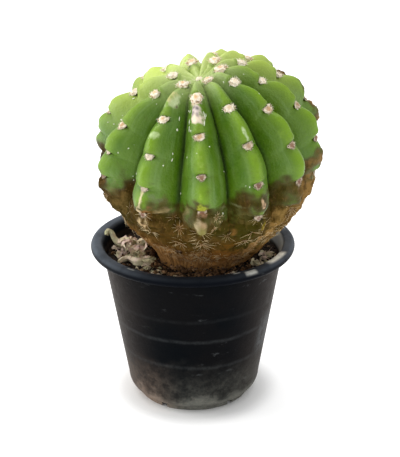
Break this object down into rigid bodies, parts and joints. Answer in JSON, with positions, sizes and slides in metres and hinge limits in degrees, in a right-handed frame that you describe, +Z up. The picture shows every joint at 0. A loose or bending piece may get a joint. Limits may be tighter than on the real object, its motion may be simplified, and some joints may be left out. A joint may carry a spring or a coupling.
{
  "type": "potted easter lily cactus",
  "caption": "Globular ribbed cactus with woolly areoles and short spines, standing in soil in a round black nursery pot with a rolled rim.",
  "frame": {"origin": "middle of the pot's flat foot, on the surface that the pot stands on", "axes": "+Z up along the pot's axis; -Y is the front, the side that the crown leans towards; +X is to the right seen from the front"},
  "size_m": [0.1329, 0.1368, 0.2118],
  "materials": {
    "pot": "black moulded plastic, satin, dusty towards the foot",
    "soil": "dark loose potting soil",
    "cactus": "waxy green skin, corky brown low down, cream wool and spines",
    "withered_flower": "dry crumpled petals and tubes"
  },
  "bodies": {
    "root": {"pot": "pot", "soil": "soil", "cactus": "cactus", "withered_flower": "withered_flower", "withered_tube": "withered_flower"}
  },
  "joints": []
}
